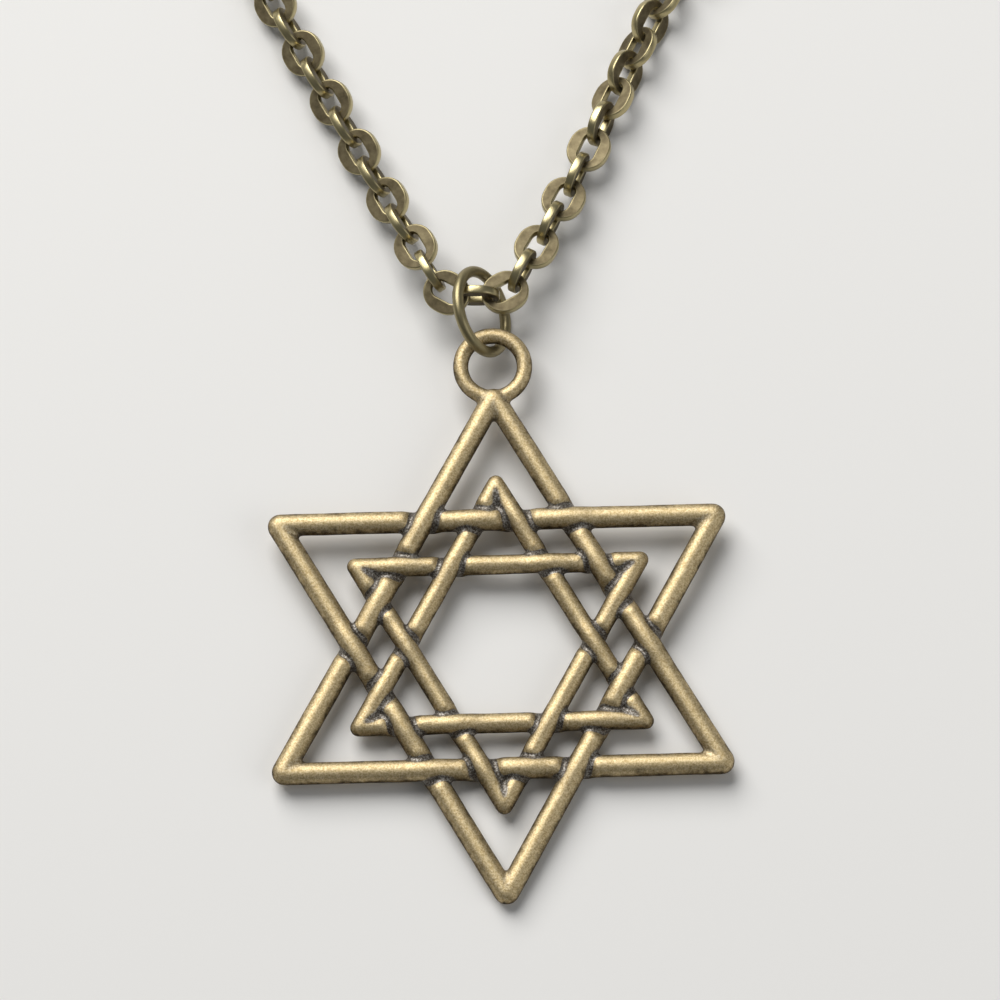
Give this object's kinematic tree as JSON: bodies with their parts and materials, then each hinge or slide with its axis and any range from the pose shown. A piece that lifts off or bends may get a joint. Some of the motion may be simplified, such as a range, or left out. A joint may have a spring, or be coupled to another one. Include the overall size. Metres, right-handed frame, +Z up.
{
  "type": "star of david pendant on chain",
  "caption": "Interlaced double-line six-pointed star pendant with a round loop, on a jump ring and a cable chain necklace with a lobster clasp, lying flat.",
  "frame": {"origin": "middle of the lying necklace's footprint, on the table", "axes": "+Z up from the table; +Y from the star's foot to the clasp; +X to the right of the picture"},
  "size_m": [0.1196, 0.2248, 0.0061],
  "materials": {
    "star": "cast, antiqued and burnished on the high edges",
    "ring": "antique bronze plated wire",
    "chain": "antique bronze plated wire",
    "clasp": "antique bronze plated casting"
  },
  "bodies": {
    "root": {"star": "star", "jump_ring": "ring", "chain_left": "chain", "chain_right": "chain", "end_ring_left": "ring", "end_ring_right": "ring", "clasp": "clasp"}
  },
  "joints": []
}
